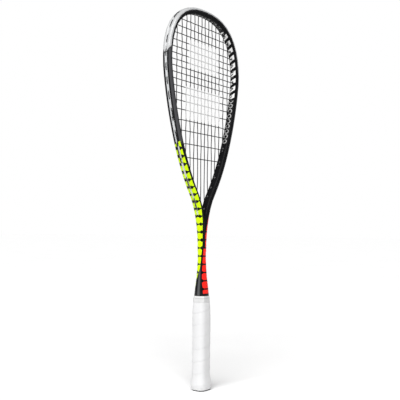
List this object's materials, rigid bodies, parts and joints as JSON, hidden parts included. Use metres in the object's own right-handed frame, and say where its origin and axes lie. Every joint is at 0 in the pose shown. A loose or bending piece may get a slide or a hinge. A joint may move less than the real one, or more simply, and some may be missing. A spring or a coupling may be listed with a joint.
{
  "type": "squash racket",
  "caption": "Squash racket: teardrop head with woven strings, head bumper, slim shaft and a capped, wrapped handle.",
  "frame": {"origin": "centre of the flat end of the butt cap", "axes": "+Z along the shaft towards the head, X across the head in the string plane, Y square to the strings; -Y is the side the picture shows"},
  "size_m": [0.2152, 0.0316, 0.6852],
  "materials": {
    "frame": "glossy black lacquer over moulded carbon fibre, with neon yellow, red and dark grey graphics",
    "bumper": "smooth satin light grey nylon",
    "grommet": "satin silver grey nylon",
    "main_string": "black multifilament with a clear coat and a white stencilled zone",
    "cross_string": "black multifilament with a clear coat and a white stencilled zone",
    "handle_foam": "moulded polyurethane foam with a skin",
    "cap_plastic": "fine textured dark grey",
    "plug_foam": "open cell foam",
    "staple_steel": "bright drawn wire",
    "grip": "soft white polyurethane grip tape with embossed pinholes",
    "tape": "pale grey satin finishing tape",
    "collar": "smooth white rubber"
  },
  "bodies": {
    "root": {"frame": "frame", "bumper_guard": "bumper", "grommet_strip_left": "grommet", "grommet_strip_right": "grommet", "main_string": "main_string", "cross_string": "cross_string", "handle_core": "handle_foam", "butt_cap": "cap_plastic", "shaft_end_plug": "plug_foam", "cap_staple_front_left": "staple_steel", "cap_staple_front_right": "staple_steel", "cap_staple_rear_left": "staple_steel", "cap_staple_rear_right": "staple_steel", "grip_wrap": "grip", "grip_finishing_tape": "tape", "handle_collar": "collar"}
  },
  "joints": []
}
